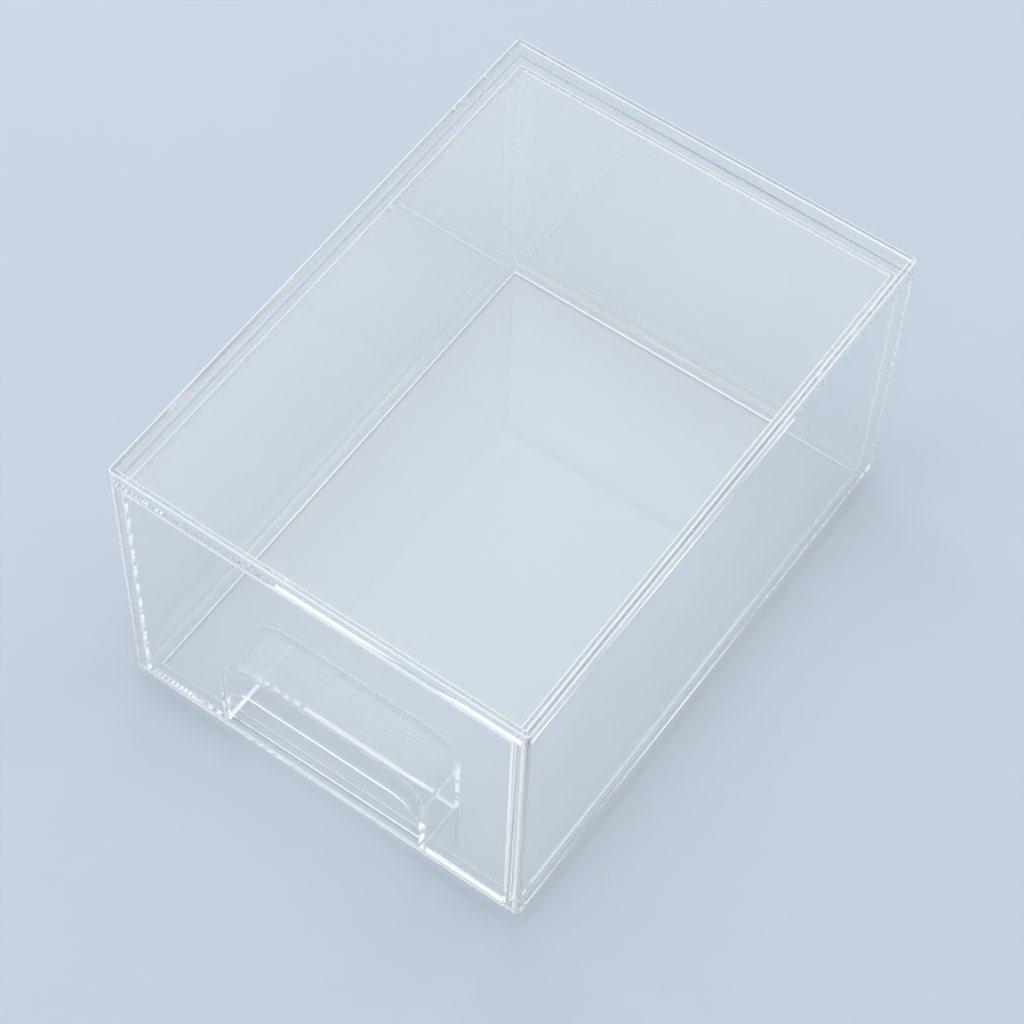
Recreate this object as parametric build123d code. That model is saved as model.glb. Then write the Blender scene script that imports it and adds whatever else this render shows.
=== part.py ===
from build123d import *
import os

# A clear stackable storage box: an outer case with an open front, and a drawer that slides out of it.
# Millimetres. +Z is up, the drawer's front faces -Y, and the origin is under the middle of the case,
# on the surface that it stands on. Every panel is its own sheet, bonded edge to edge to its neighbours.

# Overall size of the case, with its feet and its rim
case_width = 167.0
case_depth = 230.0
case_height = 128.0

# Sheets of the case
case_wall = 2.5
case_bottom = 2.5
case_top = 2.3
case_corner_radius = 2.4

# Rim that stands above the top panel, and the foot strips that drop inside the rim of a box below
rim_height = 5.3
rim_edge_radius = 0.6
foot_height = 2.0
foot_width = 3.4
foot_clearance = 1.8

# Sheets of the drawer
drawer_wall = 2.5
drawer_bottom = 2.5
drawer_corner_radius = 2.4
drawer_edge_radius = 0.6

# Room between the drawer and the case
side_clearance = 1.8
back_clearance = 1.8
top_clearance = 0.9
running_clearance = 0.4

# Finger pull: a low cut-out in the drawer's front, and a taller arched pocket behind it
cutout_height = 26.8
cutout_radius = 12.0
pocket_width = 87.6
pocket_height = 43.9
pocket_depth = 20.5
pocket_radius = 15.0
pull_wall = 2.4

# Places on the case that follow from the sizes above
left_x = -case_width / 2
right_x = case_width / 2
front_y = -case_depth / 2
back_y = case_depth / 2
inner_left_x = left_x + case_wall
inner_right_x = right_x - case_wall
inner_back_y = back_y - case_wall
rim_inner_y = front_y + case_wall
bottom_top_z = foot_height + case_bottom
top_panel_top_z = case_height - rim_height
top_panel_under_z = top_panel_top_z - case_top
foot_outer_x = case_width / 2 - case_wall - foot_clearance
foot_outer_y = case_depth / 2 - case_wall - foot_clearance

# Places on the drawer, shut in the case
drawer_half_width = case_width / 2 - case_wall - side_clearance
drawer_front_y = front_y
drawer_back_y = inner_back_y - back_clearance
drawer_under_z = bottom_top_z + running_clearance
drawer_floor_z = drawer_under_z + drawer_bottom
drawer_top_z = top_panel_under_z - top_clearance
front_inner_y = drawer_front_y + drawer_wall
pocket_back_y = front_inner_y + pocket_depth


def slab(x0, x1, y0, y1, z0, z1):
    """A plain sheet between two corners."""
    return Pos((x0 + x1) / 2, (y0 + y1) / 2, (z0 + z1) / 2) * Box(x1 - x0, y1 - y0, z1 - z0)


def rounded_block(half_x, y0, y1, z0, z1, radius):
    """A block as wide as the piece's outline, with its four upright edges rounded."""
    block = slab(-half_x, half_x, y0, y1, z0, z1)
    return fillet(block.edges().filter_by(Axis.Z), radius)


def case_outline():
    """The outside of the case, from the underside of its walls to the rounded top of its rim."""
    block = rounded_block(case_width / 2, front_y, back_y, foot_height, case_height, case_corner_radius)
    return fillet(block.faces().sort_by(Axis.Z)[-1].edges(), rim_edge_radius)


def drawer_outline():
    """The outside of the drawer's four walls, rounded along their top edges."""
    block = rounded_block(
        drawer_half_width, drawer_front_y, drawer_back_y, drawer_under_z, drawer_top_z, drawer_corner_radius
    )
    return fillet(block.faces().sort_by(Axis.Z)[-1].edges(), drawer_edge_radius)


def round_inner_edge(sheet, inward, radius):
    """Round the top edge of an upright sheet on the side that faces into the box."""
    edges = sheet.faces().sort_by(Axis.Z)[-1].edges()
    return fillet(max(edges, key=lambda edge: edge.center().dot(Vector(inward))), radius)


def arch(width, height, radius, y0, y1):
    """An upright arch with a flat top and round shoulders, standing on the drawer's underside."""
    middle_z = drawer_under_z + height / 2
    block = Pos(0, (y0 + y1) / 2, middle_z) * Box(width, y1 - y0, height)
    shoulders = block.faces().sort_by(Axis.Z)[-1].edges().filter_by(Axis.Y)
    return fillet(shoulders, radius)


def case_side_wall(x0, x1, inward):
    """A side wall of the case, from its underside to the top of the rim."""
    wall = slab(x0, x1, front_y, back_y, foot_height, case_height)
    return round_inner_edge(wall, inward, rim_edge_radius) & case_outline()


def case_back_wall():
    """The back wall, between the side walls."""
    wall = slab(inner_left_x, inner_right_x, inner_back_y, back_y, foot_height, case_height)
    return round_inner_edge(wall, (0, -1, 0), rim_edge_radius) & case_outline()


def case_front_rail():
    """The strip above the drawer's opening, which closes the rim and hides the top panel's front edge."""
    rail = slab(inner_left_x, inner_right_x, front_y, rim_inner_y, top_panel_under_z, case_height)
    return round_inner_edge(rail, (0, 1, 0), rim_edge_radius) & case_outline()


def case_top_panel():
    """The top panel, set below the rim."""
    return slab(inner_left_x, inner_right_x, rim_inner_y, inner_back_y, top_panel_under_z, top_panel_top_z)


def case_bottom_panel():
    """The panel that the drawer slides on."""
    return slab(inner_left_x, inner_right_x, front_y, inner_back_y, foot_height, bottom_top_z)


def foot_strip_across(y0, y1):
    """A foot strip that runs from side to side under the bottom panel."""
    return slab(-foot_outer_x, foot_outer_x, y0, y1, 0, foot_height)


def foot_strip_along(x0, x1):
    """A foot strip that runs from front to back, between the other two."""
    end_y = foot_outer_y - foot_width
    return slab(x0, x1, -end_y, end_y, 0, foot_height)


def drawer_front():
    """The drawer's front, with the low cut-out that fingers reach under."""
    panel = slab(
        -drawer_half_width, drawer_half_width, drawer_front_y, front_inner_y, drawer_under_z, drawer_top_z
    )
    panel = round_inner_edge(panel, (0, 1, 0), drawer_edge_radius) & drawer_outline()
    cutout_width = pocket_width - 2 * pull_wall
    return panel - arch(cutout_width, cutout_height, cutout_radius, drawer_front_y, front_inner_y)


def drawer_side_wall(x0, x1, inward):
    """A side wall of the drawer, between its front and its back."""
    wall = slab(x0, x1, front_inner_y, drawer_back_y - drawer_wall, drawer_under_z, drawer_top_z)
    return round_inner_edge(wall, inward, drawer_edge_radius) & drawer_outline()


def drawer_back_wall():
    """The drawer's back."""
    inner_y = drawer_back_y - drawer_wall
    wall = slab(-drawer_half_width, drawer_half_width, inner_y, drawer_back_y, drawer_under_z, drawer_top_z)
    return round_inner_edge(wall, (0, -1, 0), drawer_edge_radius) & drawer_outline()


def drawer_floor():
    """The drawer's floor, notched at the front where the finger pocket stands."""
    inner_x = drawer_half_width - drawer_wall
    floor = slab(-inner_x, inner_x, front_inner_y, drawer_back_y - drawer_wall, drawer_under_z, drawer_floor_z)
    notch = slab(-pocket_width / 2, pocket_width / 2, front_inner_y, pocket_back_y, drawer_under_z, drawer_floor_z)
    return floor - notch


def pull_arch():
    """The arched band that forms the sides and the roof of the finger pocket."""
    back_y_of_band = pocket_back_y - pull_wall
    outside = arch(pocket_width, pocket_height, pocket_radius, front_inner_y, back_y_of_band)
    inside = arch(
        pocket_width - 2 * pull_wall,
        pocket_height - pull_wall,
        pocket_radius - pull_wall,
        front_inner_y,
        back_y_of_band,
    )
    return outside - inside


def pull_back():
    """The plate that closes the back of the finger pocket."""
    return arch(pocket_width, pocket_height, pocket_radius, pocket_back_y - pull_wall, pocket_back_y)


def save(name, solid):
    """Write one piece to its own file."""
    export_step(solid, "parts/" + name + ".step")


save("case_left_wall", case_side_wall(left_x, inner_left_x, (1, 0, 0)))
save("case_right_wall", case_side_wall(inner_right_x, right_x, (-1, 0, 0)))
save("case_back_wall", case_back_wall())
save("case_front_rail", case_front_rail())
save("case_top_panel", case_top_panel())
save("case_bottom_panel", case_bottom_panel())
save("foot_strip_front", foot_strip_across(-foot_outer_y, -foot_outer_y + foot_width))
save("foot_strip_back", foot_strip_across(foot_outer_y - foot_width, foot_outer_y))
save("foot_strip_left", foot_strip_along(-foot_outer_x, -foot_outer_x + foot_width))
save("foot_strip_right", foot_strip_along(foot_outer_x - foot_width, foot_outer_x))
save("drawer_front", drawer_front())
save("drawer_left_wall", drawer_side_wall(-drawer_half_width, -drawer_half_width + drawer_wall, (1, 0, 0)))
save("drawer_right_wall", drawer_side_wall(drawer_half_width - drawer_wall, drawer_half_width, (-1, 0, 0)))
save("drawer_back_wall", drawer_back_wall())
save("drawer_floor", drawer_floor())
save("pull_arch", pull_arch())
save("pull_back", pull_back())
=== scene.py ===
"""Looks of a clear drawer storage box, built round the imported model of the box.

The case and the drawer are each shaped as one body, with rounded corners and small radii along every edge.
Each body is then parted into the sheets that the box is made of, so that neighbours meet without a step.
"""

import logging
import math
from dataclasses import dataclass, field
from enum import Enum, IntEnum
from typing import Callable, Iterable, Mapping, Optional, Union

import bmesh
import bpy
from mathutils import Matrix, Vector
from mathutils.bvhtree import BVHTree


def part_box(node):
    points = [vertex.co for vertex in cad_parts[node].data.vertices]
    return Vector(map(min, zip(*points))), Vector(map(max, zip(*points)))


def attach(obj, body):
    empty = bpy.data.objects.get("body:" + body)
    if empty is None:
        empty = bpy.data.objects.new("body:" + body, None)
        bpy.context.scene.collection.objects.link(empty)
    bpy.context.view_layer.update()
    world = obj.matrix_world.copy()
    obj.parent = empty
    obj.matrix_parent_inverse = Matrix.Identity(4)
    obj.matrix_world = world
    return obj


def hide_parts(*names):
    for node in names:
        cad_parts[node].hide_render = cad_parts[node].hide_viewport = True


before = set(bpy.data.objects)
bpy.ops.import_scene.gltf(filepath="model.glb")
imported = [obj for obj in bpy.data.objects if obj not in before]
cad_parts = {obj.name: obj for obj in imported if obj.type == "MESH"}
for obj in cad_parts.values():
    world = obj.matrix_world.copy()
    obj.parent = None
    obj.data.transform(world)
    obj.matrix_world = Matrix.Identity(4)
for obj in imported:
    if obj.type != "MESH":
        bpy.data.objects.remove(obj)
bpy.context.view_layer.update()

log = logging.getLogger("drawer_storage_box")

# Lengths are in metres
MM = 0.001

# Decimals that a corner's place is rounded to, which puts it on a grid of a micrometre
GRID_DECIMALS = 6

# Distances below which two places are one, a face lies on a body's surface, and two corners are merged
NEAR = 0.01 * MM
TOUCH = 0.05 * MM
MERGE = 0.002 * MM

# How far a knife or a cut runs past what it cuts
OVERRUN = 1.0 * MM

# Edges that turn by more than SHARP are softened, and those that turn by less than SMOOTH are shaded smooth
SHARP = math.radians(40)
SMOOTH = math.radians(35)

# How often light may turn on its way, since it turns many times inside a sheet
MOST_BOUNCES = 160

Colour = tuple[float, float, float, float]
Range = tuple[float, float]
EdgeTest = Callable[[Vector, Vector], bool]

FOOT_NODES = ("foot_strip_front", "foot_strip_back", "foot_strip_left", "foot_strip_right")
CASE_NODES = (
    "case_left_wall",
    "case_right_wall",
    "case_back_wall",
    "case_front_rail",
    "case_top_panel",
    "case_bottom_panel",
    *FOOT_NODES,
)
DRAWER_WALLS = ("drawer_front", "drawer_back_wall", "drawer_left_wall", "drawer_right_wall")


class Slot(IntEnum):
    """Material slots that every piece has, in order."""

    CLEAR = 0
    # Edge radii, whose finish paints a white highlight
    EDGE = 1
    BOND = 2


class Way(Enum):
    """How one solid is combined with another."""

    CUT = "DIFFERENCE"
    JOIN = "UNION"
    KEEP = "INTERSECT"


class Body(Enum):
    """The two bodies of the frame, and the material slot that the record gives their pieces."""

    CASE = ("case", "clear_case")
    DRAWER = ("drawer", "clear_drawer")

    @property
    def label(self) -> str:
        """Name of the body in the frame."""
        return self.value[0]

    @property
    def slot(self) -> str:
        """Name of the record's material slot."""
        return self.value[1]


@dataclass(frozen=True)
class Region:
    """A box between two corners.

    Attributes:
        low: The lowest corner.
        high: The highest corner.
    """

    low: Vector
    high: Vector

    @classmethod
    def of_node(cls, node: str) -> "Region":
        """The region that a CAD node fills."""
        return cls(*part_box(node))

    def resized(self, low: Iterable[float] = (0, 0, 0), high: Iterable[float] = (0, 0, 0)) -> "Region":
        """Move the two corners.

        Args:
            low: What is added to the lowest corner.
            high: What is added to the highest corner.

        Returns:
            The region between the moved corners.
        """
        return Region(self.low + Vector(low), self.high + Vector(high))


def upright(start: Vector, end: Vector) -> bool:
    """Whether an edge stands upright."""
    return abs(start.x - end.x) < NEAR and abs(start.y - end.y) < NEAR


def at_height(height: float) -> EdgeTest:
    """A test for the edges that lie at one height."""
    return lambda start, end: abs(start.z - height) < NEAR and abs(end.z - height) < NEAR


def at_depth(depth: float) -> EdgeTest:
    """A test for the edges that lie in one upright plane across the box."""
    return lambda start, end: abs(start.y - depth) < NEAR and abs(end.y - depth) < NEAR


def along_walls(height: float, front: float) -> EdgeTest:
    """A test for the edges at one height, other than those across the front."""
    return lambda start, end: at_height(height)(start, end) and not at_depth(front)(start, end)


def round_mouth(hollow: Region, height: float) -> EdgeTest:
    """A test for the edges that lie round the mouth of a hollow.

    Args:
        hollow: The region that the hollow fills.
        height: Height of its mouth.

    Returns:
        The test.
    """

    def test(start: Vector, end: Vector) -> bool:
        """Whether an edge lies at the mouth's height and within the hollow's sides."""
        inside = all(
            hollow.low[axis] - NEAR < corner[axis] < hollow.high[axis] + NEAR
            for corner in (start, end)
            for axis in (0, 1)
        )
        return inside and at_height(height)(start, end)

    return test


def none_of_them(start: Vector, end: Vector) -> bool:
    """A test that no edge passes."""
    return False


class Bench:
    """Modelling steps that every sub-assembly uses."""

    @staticmethod
    def pick(piece: bpy.types.Object) -> None:
        """Select one object alone and make it the active one.

        Args:
            piece: The object.
        """
        bpy.ops.object.select_all(action="DESELECT")
        piece.select_set(True)
        bpy.context.view_layer.objects.active = piece

    @staticmethod
    def block(name: str, region: Region) -> bpy.types.Object:
        """Add a block that fills a region.

        Args:
            name: Name of the new object.
            region: Where the block is.

        Returns:
            The block, with its place in its mesh.
        """
        bpy.ops.object.select_all(action="DESELECT")
        middle = (region.low + region.high) / 2
        bpy.ops.mesh.primitive_cube_add(size=1.0, location=middle, scale=region.high - region.low)
        piece = bpy.context.object
        piece.name = name
        bpy.ops.object.transform_apply(location=True, rotation=True, scale=True)
        Bench.snap(piece)
        return piece

    @staticmethod
    def snap(piece: bpy.types.Object) -> None:
        """Put every corner on a grid of a micrometre, so that faces that should share a plane do."""
        for vertex in piece.data.vertices:
            vertex.co = [round(part, GRID_DECIMALS) for part in vertex.co]

    @staticmethod
    def round_edges(
        piece: bpy.types.Object, chosen: EdgeTest, radius: float, facets: int, slot: int = -1
    ) -> None:
        """Round the edges that a test chooses.

        Args:
            piece: The object to shape.
            chosen: Says whether the edge between two points is rounded.
            radius: Radius of the rounding.
            facets: How many facets the rounding has.
            slot: Material slot of the rounding, or -1 for that of its neighbours.
        """
        Bench.pick(piece)
        bpy.ops.object.mode_set(mode="EDIT")
        bpy.ops.mesh.select_mode(type="EDGE")
        bpy.ops.mesh.select_all(action="DESELECT")
        bpy.ops.object.mode_set(mode="OBJECT")
        for edge in piece.data.edges:
            start, end = (piece.data.vertices[index].co for index in edge.vertices)
            edge.select = chosen(start, end)
        bpy.ops.object.mode_set(mode="EDIT")
        bpy.ops.mesh.bevel(
            offset=radius, segments=facets, profile=0.5, affect="EDGES", clamp_overlap=False, material=slot
        )
        bpy.ops.object.mode_set(mode="OBJECT")
        Bench.snap(piece)

    @staticmethod
    def apply(piece: bpy.types.Object, modifier: bpy.types.Modifier) -> None:
        """Apply one modifier to the mesh."""
        Bench.pick(piece)
        bpy.ops.object.modifier_apply(modifier=modifier.name)

    @staticmethod
    def combine(piece: bpy.types.Object, other: bpy.types.Object, way: Way) -> None:
        """Cut, join or intersect one solid with another.

        Args:
            piece: The solid that is changed.
            other: The solid that it is combined with. It is used up.
            way: How they are combined.
        """
        modifier = piece.modifiers.new(way.value, "BOOLEAN")
        modifier.operation = way.value
        modifier.solver = "EXACT"
        modifier.object = other
        Bench.apply(piece, modifier)
        bpy.data.objects.remove(other)

    @staticmethod
    def copy(piece: bpy.types.Object, name: str) -> bpy.types.Object:
        """Copy an object with a mesh of its own.

        Args:
            piece: The object to copy.
            name: Name of the copy.

        Returns:
            The copy.
        """
        twin = piece.copy()
        twin.data = piece.data.copy()
        twin.name = name
        bpy.context.scene.collection.objects.link(twin)
        return twin

    @staticmethod
    def soften_edges(piece: bpy.types.Object, radius: float, facets: int, crisp: EdgeTest) -> None:
        """Give the sharp outer edges a small radius, in the edge slot, which paints a highlight on it.

        Args:
            piece: The body to soften, before it is parted.
            radius: Radius of the softened edges.
            facets: How many facets a softened edge has.
            crisp: Says whether the edge between two points stays as it is.
        """
        shape = bmesh.new()
        shape.from_mesh(piece.data)
        weight = shape.edges.layers.float.new("bevel_weight_edge")
        for edge in shape.edges:
            sharp = edge.is_convex and edge.calc_face_angle() > SHARP
            if sharp and not crisp(edge.verts[0].co, edge.verts[1].co):
                edge[weight] = 1.0
        shape.to_mesh(piece.data)
        shape.free()
        modifier = piece.modifiers.new("soft_edges", "BEVEL")
        modifier.width = radius
        modifier.segments = facets
        modifier.limit_method = "WEIGHT"
        modifier.use_clamp_overlap = False
        modifier.material = Slot.EDGE
        Bench.apply(piece, modifier)
        Bench.snap(piece)


@dataclass(frozen=True)
class Nodes:
    """A node tree that is being filled.

    Attributes:
        tree: The tree.
    """

    tree: bpy.types.NodeTree

    def add(
        self, kind: str, inputs: Optional[Mapping[Union[str, int], object]] = None, **settings: object
    ) -> bpy.types.Node:
        """Add a node.

        Args:
            kind: Type of the node, without the words that all types start with.
            inputs: Values of its sockets, by their names or numbers.
            settings: Values of its own properties, which are set before its sockets.

        Returns:
            The node.
        """
        node = self.tree.nodes.new("ShaderNode" + kind)
        for name, value in settings.items():
            setattr(node, name, value)
        for name, value in (inputs or {}).items():
            node.inputs[name].default_value = value
        return node

    def add_range(self, source: Range, target: Range) -> bpy.types.Node:
        """Add a node that maps one range of numbers to another.

        Args:
            source: The range that comes in. Numbers outside it count as its nearer end.
            target: The range that goes out.

        Returns:
            The node.
        """
        ends = {"From Min": source[0], "From Max": source[1], "To Min": target[0], "To Max": target[1]}
        return self.add("MapRange", ends)

    def add_noise(self, scale: float, detail: float) -> bpy.types.Node:
        """Add a noise pattern that stays on its piece.

        Args:
            scale: How many of its cells a metre holds.
            detail: How many finer layers it has.

        Returns:
            The noise node.
        """
        noise = self.add("TexNoise", {"Scale": scale, "Detail": detail})
        self.tree.links.new(self.add("TexCoord").outputs["Object"], noise.inputs["Vector"])
        return noise


@dataclass(frozen=True)
class Finish:
    """A surface finish, made as a material of its name.

    Attributes:
        name: Name of the material.
    """

    name: str

    def make(self) -> bpy.types.Material:
        """Build the material.

        Returns:
            The new material.
        """
        material = bpy.data.materials.new(self.name)
        material.use_nodes = True
        material.node_tree.nodes.clear()
        nodes = Nodes(material.node_tree)
        nodes.tree.links.new(self.surface(nodes), nodes.add("OutputMaterial").inputs["Surface"])
        return material

    def surface(self, nodes: Nodes) -> bpy.types.NodeSocket:
        """Add the finish's own nodes.

        Args:
            nodes: The tree to fill.

        Returns:
            The socket that gives the finished surface.
        """
        raise NotImplementedError


@dataclass(frozen=True)
class ClearPlastic(Finish):
    """Water-clear moulded plastic that bends light and lets lamps through.

    Attributes:
        body_colour: Colour that light takes in passing one face.
        shade_level: What one face lets through of light that meets it squarely.
        graze_level: What one face lets through of light that skims along it.
        graze_power: How fast the one turns into the other, the higher the later.
        refraction: Refractive index.
        ripple: Strength of the faint waves that moulding leaves.
        ripple_height: Height of those waves at full strength.
        ripple_scale: How many of those waves a metre holds.
        polish_scale: How many duller and brighter spots a metre holds.
        polish_range: Values of the spots' pattern at which the polish is full and dullest.
        dullest: Roughness of the dullest spots.
    """

    body_colour: Colour = (1.0, 1.0, 1.0, 1.0)
    shade_level: float = 1.0
    graze_level: float = 0.4
    graze_power: float = 5.0
    refraction: float = 1.49
    ripple: float = 0.002
    ripple_height: float = 10.0 * MM
    ripple_scale: float = 14.0
    polish_scale: float = 60.0
    polish_range: Range = (0.45, 0.75)
    dullest: float = 0.01

    def surface(self, nodes: Nodes) -> bpy.types.NodeSocket:
        """Add the refracting plastic, and the plain pane that shadow and diffuse rays meet instead.

        Args:
            nodes: The tree to fill.

        Returns:
            The socket that gives the finished surface.
        """
        waves = nodes.add_noise(self.ripple_scale, 1.0)
        bump = nodes.add("Bump", {"Strength": self.ripple, "Distance": self.ripple_height})
        spots = nodes.add_noise(self.polish_scale, 3.0)
        polish = nodes.add_range(self.polish_range, (0.0, self.dullest))
        plastic = nodes.add(
            "BsdfPrincipled",
            {"Base Color": self.body_colour, "Transmission Weight": 1.0, "IOR": self.refraction},
        )
        slant = nodes.add("LayerWeight")
        skim = nodes.add("Math", {1: self.graze_power}, operation="POWER")
        passed = nodes.add_range((0.0, 1.0), (self.shade_level, self.graze_level))
        pane = nodes.add("BsdfTransparent")
        ray = nodes.add("LightPath")
        passing = nodes.add("Math", operation="MAXIMUM")
        mix = nodes.add("MixShader")
        link = nodes.tree.links.new
        link(waves.outputs["Fac"], bump.inputs["Height"])
        link(bump.outputs["Normal"], plastic.inputs["Normal"])
        link(spots.outputs["Fac"], polish.inputs["Value"])
        link(polish.outputs["Result"], plastic.inputs["Roughness"])
        link(slant.outputs["Facing"], skim.inputs[0])
        link(skim.outputs["Value"], passed.inputs["Value"])
        link(passed.outputs["Result"], pane.inputs["Color"])
        link(ray.outputs["Is Shadow Ray"], passing.inputs[0])
        link(ray.outputs["Is Diffuse Ray"], passing.inputs[1])
        link(passing.outputs["Value"], mix.inputs["Fac"])
        link(plastic.outputs["BSDF"], mix.inputs[1])
        link(pane.outputs["BSDF"], mix.inputs[2])
        return mix.outputs["Shader"]


@dataclass(frozen=True)
class EdgeHighlightPaint(Finish):
    """The narrow radius along an edge, painted white as a highlight for the bright lines that light makes
    along clear edges.

    Attributes:
        colour: Colour of the painted highlight.
        cover: Share of the edge that the painted highlight covers, the rest being clear.
        unevenness: How far that share rises and falls along the edge.
        grain_scale: How many of its rises and falls a metre holds.
        grain_range: Values of the grain's pattern between which the share changes.
        roughness: Roughness of the white that paints the highlight.
    """

    # Near-white colour of the painted highlight along the edge radii
    colour: Colour = (0.95, 0.96, 0.97, 1.0)
    cover: float = 0.8
    unevenness: float = 0.08
    grain_scale: float = 90.0
    grain_range: Range = (0.3, 0.7)
    roughness: float = 0.45

    def surface(self, nodes: Nodes) -> bpy.types.NodeSocket:
        """Add the white that paints the highlight, broken up by clear plastic.

        Args:
            nodes: The tree to fill.

        Returns:
            The socket that gives the finished surface.
        """
        grain = nodes.add_noise(self.grain_scale, 2.0)
        amount = nodes.add_range(
            self.grain_range, (self.cover - self.unevenness, self.cover + self.unevenness)
        )
        # White surface that paints the highlight on the edge
        highlight_white = nodes.add("BsdfPrincipled", {"Base Color": self.colour, "Roughness": self.roughness})
        mix = nodes.add("MixShader")
        link = nodes.tree.links.new
        link(grain.outputs["Fac"], amount.inputs["Value"])
        link(amount.outputs["Result"], mix.inputs["Fac"])
        link(nodes.add("BsdfTransparent").outputs["BSDF"], mix.inputs[1])
        link(highlight_white.outputs["BSDF"], mix.inputs[2])
        return mix.outputs["Shader"]


@dataclass(frozen=True)
class BondedJoint(Finish):
    """A joint between two sheets that has become one plastic, so nothing shows there."""

    def surface(self, nodes: Nodes) -> bpy.types.NodeSocket:
        """Add a surface that light passes unchanged."""
        return nodes.add("BsdfTransparent").outputs["BSDF"]


@dataclass(frozen=True)
class FloorPaper(Finish):
    """The plain paper that the box stands on.

    Attributes:
        colour: Colour of the paper.
        darkest: Brightness of its darkest clouds, against the rest.
        cloud_scale: How many clouds a metre holds.
        roughness: Roughness of the paper.
        gloss: Strength of its reflections, where 0.5 is that of plastic.
    """

    colour: Colour
    darkest: float = 0.96
    cloud_scale: float = 9.0
    roughness: float = 0.9
    gloss: float = 0.1

    def surface(self, nodes: Nodes) -> bpy.types.NodeSocket:
        """Add the paper with its faint clouds.

        Args:
            nodes: The tree to fill.

        Returns:
            The socket that gives the finished surface.
        """
        cloud = nodes.add_noise(self.cloud_scale, 4.0)
        dark = (*(part * self.darkest for part in self.colour[:3]), 1.0)
        shade = nodes.add("Mix", {"A": self.colour, "B": dark}, data_type="RGBA")
        paper = nodes.add("BsdfPrincipled", {"Roughness": self.roughness, "Specular IOR Level": self.gloss})
        link = nodes.tree.links.new
        link(cloud.outputs["Fac"], shade.inputs["Factor"])
        link(shade.outputs["Result"], paper.inputs["Base Color"])
        return paper.outputs["BSDF"]


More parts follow.
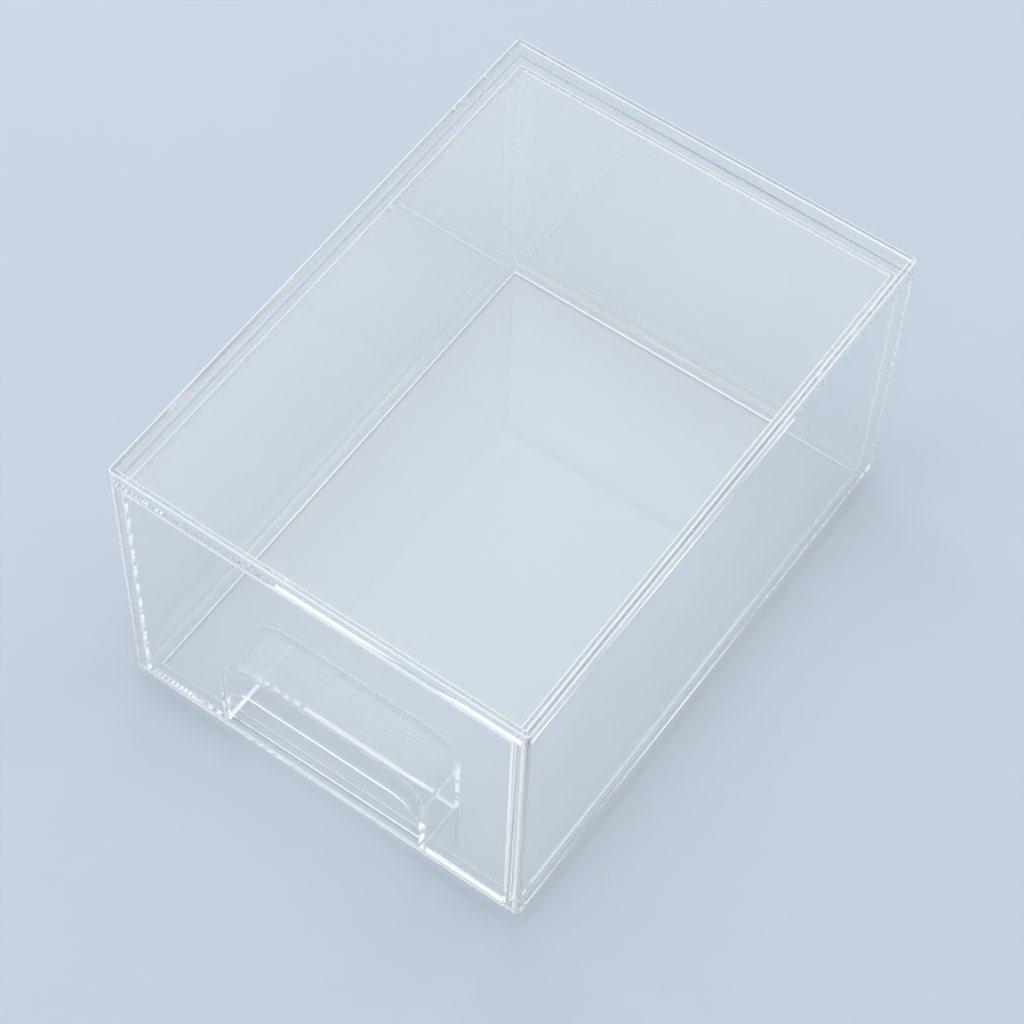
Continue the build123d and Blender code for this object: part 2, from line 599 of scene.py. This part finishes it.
@dataclass
class SheetAssembly:
    """A body of clear sheets that is shaped whole and then parted.

    Attributes:
        body: Which body of the frame it is.
        finishes: The materials of its faces, in the order of the slots.
        edge_radius: Radius of every edge that has no larger one.
        edge_facets: How many facets such an edge has.
        corner_radius: Radius of the upright outer corners.
        corner_facets: How many facets such a corner has.
        rim_radius: Radius of the top edges of the walls.
        fillet_radius: Radius of the clear fillet where the floor meets the walls.
        round_facets: How many facets the rim's and the fillet's roundings have.
        whole: The finished body, while it is parted.
        surface: The finished body's faces, to look up the nearest.
    """

    body: Body
    finishes: list[bpy.types.Material]
    edge_radius: float = 0.45 * MM
    edge_facets: int = 3
    corner_radius: float = 1.9 * MM
    corner_facets: int = 6
    rim_radius: float = 0.6 * MM
    fillet_radius: float = 1.0 * MM
    round_facets: int = 4
    whole: Optional[bpy.types.Object] = field(default=None, init=False)
    surface: Optional[BVHTree] = field(default=None, init=False)

    def start(self, name: str, region: Region) -> bpy.types.Object:
        """Start the body as a block with its upright corners rounded and a painted highlight on its rounded
        top edges.

        Args:
            name: Name of the body while it is shaped.
            region: The box round the body.

        Returns:
            The block, with the finishes in its slots.
        """
        block = Bench.block(name, region)
        for finish in self.finishes:
            block.data.materials.append(finish)
        Bench.round_edges(block, upright, self.corner_radius, self.corner_facets)
        Bench.round_edges(block, at_height(region.high.z), self.rim_radius, self.round_facets, Slot.EDGE)
        return block

    def keep_whole(self, shape: bpy.types.Object, crisp: EdgeTest = none_of_them) -> None:
        """Soften the finished body, and keep it to part and to compare with.

        Args:
            shape: The finished body.
            crisp: Says whether an edge stays as it is.
        """
        Bench.soften_edges(shape, self.edge_radius, self.edge_facets, crisp)
        self.whole = shape
        corners = [vertex.co for vertex in shape.data.vertices]
        self.surface = BVHTree.FromPolygons(corners, [face.vertices[:] for face in shape.data.polygons])

    def whole_reach(self, region: Region) -> Region:
        """Let a region run past the outside of the body, on each side where it reaches that outside.

        Args:
            region: The region that a piece fills.

        Returns:
            The region of the knife that parts the piece.
        """
        corners = [vertex.co for vertex in self.whole.data.vertices]
        low = Vector([min(corner[axis] for corner in corners) for axis in range(3)])
        high = Vector([max(corner[axis] for corner in corners) for axis in range(3)])
        down = [-OVERRUN if region.low[axis] - low[axis] < NEAR else 0.0 for axis in range(3)]
        up = [OVERRUN if high[axis] - region.high[axis] < NEAR else 0.0 for axis in range(3)]
        return region.resized(down, up)

    def part(self, node: str, knife: bpy.types.Object) -> None:
        """Make the piece that stands for one CAD node.

        Args:
            node: Name of the CAD node.
            knife: The solid that holds the piece. It is used up.
        """
        piece = Bench.copy(self.whole, node + "_clear")
        Bench.combine(piece, knife, Way.KEEP)
        self.finish_piece(piece, node)

    def finish_piece(self, piece: bpy.types.Object, node: str) -> None:
        """Clean, dress and place one piece.

        Args:
            piece: The parted piece.
            node: The CAD node that it stands for.
        """
        Bench.pick(piece)
        bpy.ops.object.mode_set(mode="EDIT")
        bpy.ops.mesh.select_all(action="SELECT")
        bpy.ops.mesh.remove_doubles(threshold=MERGE)
        bpy.ops.mesh.normals_make_consistent(inside=False)
        bpy.ops.object.mode_set(mode="OBJECT")
        self.dress(piece)
        bpy.ops.object.shade_smooth_by_angle(angle=SMOOTH, keep_sharp_edges=False)
        normals = piece.modifiers.new("flat_faces", "WEIGHTED_NORMAL")
        normals.keep_sharp = True
        Bench.apply(piece, normals)
        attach(piece, self.body.label)
        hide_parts(node)
        log.info("%s: %d faces", piece.name, len(piece.data.polygons))

    def dress(self, piece: bpy.types.Object) -> None:
        """Give each face the slot of the body's surface that it lies on, or the bond's inside the body.

        Args:
            piece: The parted piece.
        """
        mesh = piece.data
        mesh.calc_loop_triangles()
        middles: dict[int, tuple[float, Vector]] = {}
        for triangle in mesh.loop_triangles:
            if triangle.area >= middles.get(triangle.polygon_index, (0.0,))[0]:
                corners = [mesh.vertices[index].co for index in triangle.vertices]
                middles[triangle.polygon_index] = (triangle.area, sum(corners, Vector()) / 3)
        for index, (_, middle) in middles.items():
            _, _, nearest, distance = self.surface.find_nearest(middle)
            on_surface = distance < TOUCH
            slot = self.whole.data.polygons[nearest].material_index if on_surface else Slot.BOND
            mesh.polygons[index].material_index = slot

    def clear_bench(self) -> None:
        """Remove the whole body once it is parted."""
        bpy.data.objects.remove(self.whole)


@dataclass
class ClearCase(SheetAssembly):
    """The outer case: walls, rim, top and bottom panels and foot strips."""

    def build(self) -> None:
        """Shape the case and part it into its ten sheets."""
        self.keep_whole(self.shape())
        for node in CASE_NODES:
            reach = self.whole_reach(Region.of_node(node))
            if node == "case_bottom_panel":
                reach = reach.resized(high=(0, 0, self.fillet_radius))
            self.part(node, Bench.block("knife", reach))
        self.clear_bench()

    def shape(self) -> bpy.types.Object:
        """Shape the whole case.

        Returns:
            The case as one solid.
        """
        left = Region.of_node("case_left_wall")
        right = Region.of_node("case_right_wall")
        back = Region.of_node("case_back_wall")
        top = Region.of_node("case_top_panel")
        bottom = Region.of_node("case_bottom_panel")
        case = self.start("case_whole", Region(left.low, right.high))
        recess = Region(Vector((*top.low.xy, top.high.z)), Vector((*top.high.xy, left.high.z + OVERRUN)))
        Bench.combine(case, Bench.block("recess", recess), Way.CUT)
        mouth = round_mouth(recess, right.high.z)
        Bench.round_edges(case, mouth, self.rim_radius, self.round_facets, Slot.EDGE)
        room = Region(
            Vector((left.high.x, left.low.y - OVERRUN, bottom.high.z)),
            Vector((right.low.x, back.low.y, top.low.z)),
        )
        Bench.combine(case, Bench.block("room", room), Way.CUT)
        joints = along_walls(bottom.high.z, left.low.y)
        Bench.round_edges(case, joints, self.fillet_radius, self.round_facets)
        for node in FOOT_NODES:
            foot = Region.of_node(node).resized(high=(0, 0, OVERRUN))
            Bench.combine(case, Bench.block("foot", foot), Way.JOIN)
        return case


@dataclass
class ClearDrawer(SheetAssembly):
    """The drawer: four walls, a floor, and the finger pocket behind the front's cut-out.

    Attributes:
        cutout_height: Height of the finger cut-out above the drawer's underside.
        cutout_radius: Radius of the cut-out's shoulders.
        pocket_radius: Radius of the pocket's outer shoulders.
        shoulder_facets: How many facets such a shoulder has.
        lip: How far the sides of the cut-out stand inside the sides of the pocket.
    """

    cutout_height: float = 26.8 * MM
    cutout_radius: float = 12.0 * MM
    pocket_radius: float = 15.0 * MM
    shoulder_facets: int = 16
    lip: float = 0.05 * MM

    def build(self) -> None:
        """Shape the drawer and part it into its seven sheets."""
        front = Region.of_node("drawer_front")
        floor = Region.of_node("drawer_floor")
        band = Region.of_node("pull_arch")
        plate = Region.of_node("pull_back")
        self.keep_whole(self.shape(front, floor, band, plate), at_depth(front.high.y))
        for node in DRAWER_WALLS:
            self.part(node, Bench.block("knife", self.whole_reach(Region.of_node(node))))
        knife = Bench.block("knife", floor.resized(high=(0, 0, self.fillet_radius)))
        notch = Region(band.low, Vector((*plate.high.xy, floor.high.z + self.fillet_radius))).resized(
            (0, -OVERRUN, -OVERRUN), (0, 0, OVERRUN)
        )
        Bench.combine(knife, Bench.block("notch", notch), Way.CUT)
        self.part("drawer_floor", knife)
        self.part("pull_arch", self.arch("knife", band, self.pocket_radius))
        self.part("pull_back", self.arch("knife", plate, self.pocket_radius))
        self.clear_bench()

    def arch(self, name: str, region: Region, radius: float) -> bpy.types.Object:
        """Add an upright arch with a flat top and round shoulders.

        Args:
            name: Name of the new object.
            region: The box round the arch.
            radius: Radius of its shoulders.

        Returns:
            The arch.
        """
        arch = Bench.block(name, region)

        def shoulder(start: Vector, end: Vector) -> bool:
            """Whether an edge runs from front to back along the top."""
            return at_height(region.high.z)(start, end) and abs(start.x - end.x) < NEAR

        Bench.round_edges(arch, shoulder, radius, self.shoulder_facets)
        return arch

    def shape(self, front: Region, floor: Region, band: Region, plate: Region) -> bpy.types.Object:
        """Shape the whole drawer.

        Args:
            front: The front sheet.
            floor: The floor.
            band: The arched band of the finger pocket.
            plate: The plate at the back of the pocket.

        Returns:
            The drawer as one solid.
        """
        left = Region.of_node("drawer_left_wall")
        back = Region.of_node("drawer_back_wall")
        drawer = self.start("drawer_whole", Region(front.low, back.high))
        room = Region(
            Vector((left.high.x, front.high.y, floor.high.z)),
            Vector((-left.high.x, back.low.y, back.high.z + OVERRUN)),
        )
        Bench.combine(drawer, Bench.block("room", room), Way.CUT)
        rim = round_mouth(room, back.high.z)
        Bench.round_edges(drawer, rim, self.rim_radius, self.round_facets, Slot.EDGE)
        joints = along_walls(floor.high.z, front.high.y)
        Bench.round_edges(drawer, joints, self.fillet_radius, self.round_facets)
        pocket = Region(Vector((band.low.x, front.high.y - OVERRUN, band.low.z)), plate.high)
        Bench.combine(drawer, self.arch("pocket", pocket, self.pocket_radius), Way.JOIN)
        wall = plate.high.y - plate.low.y
        hollow = Region(
            Vector((band.low.x + wall, front.high.y, band.low.z - OVERRUN)),
            Vector((band.high.x - wall, plate.low.y, band.high.z - wall)),
        )
        Bench.combine(drawer, self.arch("hollow", hollow, self.pocket_radius - wall), Way.CUT)
        mouth = Region(
            Vector((hollow.low.x + self.lip, front.low.y - OVERRUN, hollow.low.z)),
            Vector((hollow.high.x - self.lip, front.high.y + OVERRUN, front.low.z + self.cutout_height)),
        )
        Bench.combine(drawer, self.arch("mouth", mouth, self.cutout_radius), Way.CUT)
        return drawer


@dataclass(frozen=True)
class PhotoCamera:
    """The camera that took the photograph, worked out from the box's corners.

    Attributes:
        azimuth: Degrees round the box from its front.
        elevation: Degrees above the table.
        roll: Degrees that the picture is turned.
        picture_width: Width of the picture, in pixels.
        focal_pixels: Focal length, in such pixels.
        sensor_width: Width of the sensor, in millimetres.
        farthest: Distance at which the camera stops seeing.
        offset: Where the box stands before the lens, in depths of the case: right, down and away.
    """

    azimuth: float = 33.21
    elevation: float = 57.26
    roll: float = -2.667
    picture_width: int = 1024
    focal_pixels: float = 3074.0
    sensor_width: float = 36.0
    farthest: float = 200.0
    offset: tuple[float, float, float] = (0.002415, 0.07994, 4.89)

    def add(self, case_depth: float, base_height: float) -> None:
        """Add the camera and make it the scene's own.

        Args:
            case_depth: Depth of the case, the unit of the offset.
            base_height: Height of the underside of the case's walls.
        """
        azimuth = math.radians(self.azimuth)
        elevation = math.radians(self.elevation)
        roll = math.radians(self.roll)
        level_part = math.cos(elevation)
        back = Vector(
            (math.sin(azimuth) * level_part, -math.cos(azimuth) * level_part, math.sin(elevation))
        )
        level = (-back).cross(Vector((0, 0, 1))).normalized()
        down = (-back).cross(level)
        right = level * math.cos(roll) + down * math.sin(roll)
        up = level * math.sin(roll) - down * math.cos(roll)
        over, under, away = self.offset
        place = (back * away - right * over + up * under) * case_depth + Vector((0, 0, base_height))
        data = bpy.data.cameras.new("camera")
        data.sensor_width = self.sensor_width
        data.lens = self.focal_pixels * self.sensor_width / self.picture_width
        data.clip_end = self.farthest
        camera = bpy.data.objects.new("camera", data)
        bpy.context.scene.collection.objects.link(camera)
        camera.matrix_world = Matrix.Translation(place) @ Matrix((right, up, back)).transposed().to_4x4()
        bpy.context.scene.camera = camera


@dataclass(frozen=True)
class Studio:
    """A pale blue floor under a soft white dome, with one soft lamp.

    Attributes:
        floor_colour: Colour of the floor.
        floor_size: Length of the floor's sides.
        floor_drop: How far the floor lies below the feet, so that no two faces share a place.
        dome_tint: Tint of the dome, a little of the floor's blue.
        dome_white: Brightness of the dome on its bright side, where the lamp is.
        dome_grey: Brightness of the dome on its dark side.
        dome_sides: How far towards the lamp the dark side ends and the bright side starts.
        dome_horizon: Heights on a dome of radius 1 between which the floor's colour turns to the dome's.
        lamp_power: Power of the lamp, in watts.
        lamp_place: Where the lamp hangs.
        lamp_size: Width of the lamp.
    """

    floor_colour: Colour = (0.549, 0.61, 0.677, 1.0)
    floor_size: float = 30.0
    floor_drop: float = 0.3 * MM
    dome_tint: tuple[float, float, float] = (0.965, 1.0, 1.035)
    dome_white: float = 1.16
    dome_grey: float = 0.66
    dome_sides: Range = (-0.4, 0.8)
    dome_horizon: Range = (0.05, 0.45)
    lamp_power: float = 5.2
    lamp_place: tuple[float, float, float] = (-1.0, 0.7, 1.1)
    lamp_size: float = 1.2

    def add(self) -> None:
        """Add the floor, the dome and the lamp."""
        self.add_floor()
        self.add_dome()
        self.add_lamp()

    def add_floor(self) -> None:
        """Add the floor."""
        bpy.ops.object.select_all(action="DESELECT")
        bpy.ops.mesh.primitive_plane_add(size=self.floor_size, location=(0, 0, 0))
        floor = bpy.context.object
        floor.name = "floor"
        floor.data.transform(Matrix.Translation((0, 0, -self.floor_drop)))
        floor.data.materials.append(FloorPaper("floor_paper", self.floor_colour).make())

    def add_dome(self) -> None:
        """Light the scene from all round, white above and the floor's colour at the horizon."""
        world = bpy.data.worlds.new("dome")
        bpy.context.scene.world = world
        world.use_nodes = True
        nodes = Nodes(world.node_tree)
        light = nodes.tree.nodes["Background"]
        place = nodes.add("TexCoord")
        parts = nodes.add("SeparateXYZ")
        rise = nodes.add_range(self.dome_horizon, (0.0, 1.0))
        to_lamp = Vector(self.lamp_place).normalized()
        side = nodes.add("VectorMath", {1: to_lamp}, operation="DOT_PRODUCT")
        level = nodes.add_range(self.dome_sides, (self.dome_grey, self.dome_white))
        tint = nodes.add("VectorMath", {0: self.dome_tint}, operation="SCALE")
        tone = nodes.add("Mix", {"A": self.floor_colour}, data_type="RGBA")
        link = nodes.tree.links.new
        link(place.outputs["Generated"], parts.inputs["Vector"])
        link(place.outputs["Generated"], side.inputs[0])
        link(parts.outputs["Z"], rise.inputs["Value"])
        link(side.outputs["Value"], level.inputs["Value"])
        link(rise.outputs["Result"], tone.inputs["Factor"])
        link(level.outputs["Result"], tint.inputs["Scale"])
        link(tint.outputs["Vector"], tone.inputs["B"])
        link(tone.outputs["Result"], light.inputs["Color"])

    def add_lamp(self) -> None:
        """Add the soft lamp, which lights the box without showing as a disc in its panels."""
        data = bpy.data.lights.new("soft_lamp", "AREA")
        data.shape = "DISK"
        data.size = self.lamp_size
        data.energy = self.lamp_power
        lamp = bpy.data.objects.new("soft_lamp", data)
        lamp.visible_glossy = False
        lamp.visible_transmission = False
        lamp.location = self.lamp_place
        lamp.rotation_euler = Vector(self.lamp_place).to_track_quat("Z", "Y").to_euler()
        bpy.context.scene.collection.objects.link(lamp)


def set_light_paths() -> None:
    """Let light run along inside the sheets to their far edges, which brightens the edges along with the
    highlight painted on their radii.
    """
    cycles = bpy.context.scene.cycles
    cycles.max_bounces = MOST_BOUNCES
    cycles.transmission_bounces = MOST_BOUNCES
    cycles.glossy_bounces = MOST_BOUNCES
    cycles.transparent_max_bounces = MOST_BOUNCES
    bpy.context.scene.view_settings.view_transform = "Standard"


def main() -> None:
    """Set the stage, then build and dress the case and the drawer."""
    logging.basicConfig(level=logging.INFO, format="%(name)s %(message)s")
    case_wall = Region.of_node("case_left_wall")
    PhotoCamera().add(case_wall.high.y - case_wall.low.y, case_wall.low.z)
    Studio().add()
    set_light_paths()
    finishes = [
        ClearPlastic("clear_plastic").make(),
        # Paints a white highlight on the edge radii
        EdgeHighlightPaint("painted_edge_highlight").make(),
        BondedJoint("bonded_joint").make(),
    ]
    ClearCase(Body.CASE, finishes).build()
    ClearDrawer(Body.DRAWER, finishes).build()


if __name__ == "__main__":
    main()
